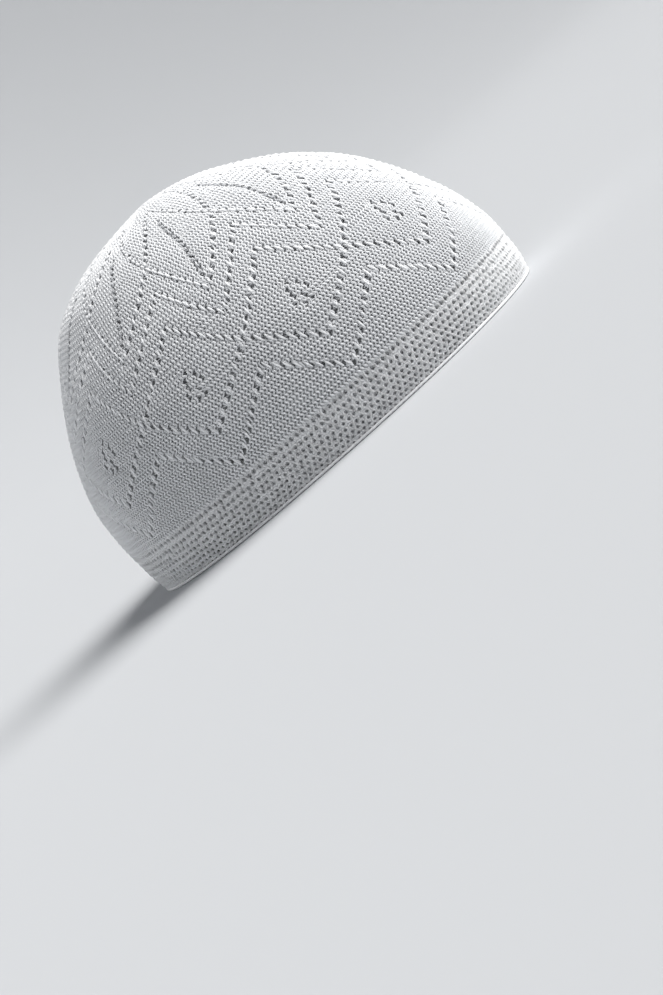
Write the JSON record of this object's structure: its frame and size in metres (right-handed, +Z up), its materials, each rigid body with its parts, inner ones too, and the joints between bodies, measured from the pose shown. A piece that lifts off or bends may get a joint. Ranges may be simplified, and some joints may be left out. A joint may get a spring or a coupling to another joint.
{
  "type": "knitted skull cap",
  "caption": "Round seamless knitted skull cap: a domed openwork crown over a honeycomb rim band with a rolled cast-on edge, standing on its rim.",
  "frame": {"origin": "middle of the cap's box at the level of the rim's flat underside", "axes": "+X to the forehead side, +Y to the wearer's left, +Z up to the crown"},
  "size_m": [0.197, 0.1588, 0.1205],
  "materials": {
    "crown_knit": "matt white yarn, fine knit with rows of eyelets",
    "band_knit": "matt white yarn, honeycomb knit",
    "edge_yarn": "matt white yarn, tight cast-on edge"
  },
  "bodies": {
    "root": {"crown": "crown_knit", "rim_band": "band_knit", "cast_on_edge": "edge_yarn"}
  },
  "joints": []
}
